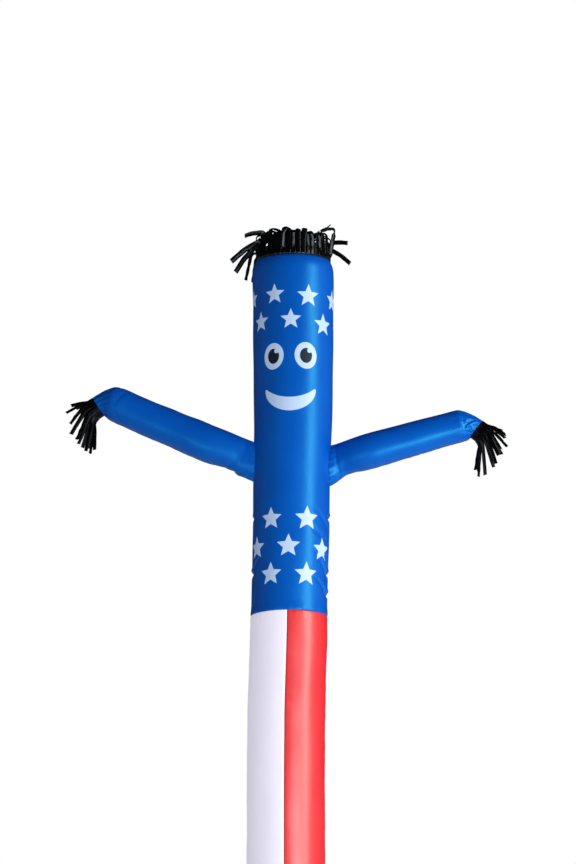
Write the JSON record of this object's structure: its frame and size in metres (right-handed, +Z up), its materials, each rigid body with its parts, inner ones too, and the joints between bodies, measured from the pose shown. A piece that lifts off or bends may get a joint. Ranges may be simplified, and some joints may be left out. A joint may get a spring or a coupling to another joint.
{
  "type": "inflatable air dancer",
  "caption": "Inflatable air dancer: blue tube with white stars and a smiling face, striped red and white lower half, sleeve arms, black fringe hair and hands",
  "frame": {"origin": "middle of the hem on the ground, the bottom centre of the whole", "axes": "+Z up, -Y towards the front with the face, +X towards the viewer's right"},
  "size_m": [1.7714, 0.3493, 3.1515],
  "materials": {
    "blue_nylon": "thin coated nylon, soft sheen, seams sewn, stars and face printed",
    "white_nylon": "thin coated nylon, soft sheen",
    "red_nylon": "thin coated nylon, soft sheen",
    "black_nylon": "thin coated nylon cut in strips, glossy sheen"
  },
  "bodies": {
    "root": {"body_upper": "blue_nylon", "head_top": "blue_nylon", "arm_left": "blue_nylon", "arm_right": "blue_nylon", "stripe_front_left": "white_nylon", "stripe_front_right": "red_nylon", "stripe_back_right": "white_nylon", "stripe_back_left": "red_nylon", "hair_fringe": "black_nylon", "hand_fringe_left": "black_nylon", "hand_fringe_right": "black_nylon"}
  },
  "joints": []
}
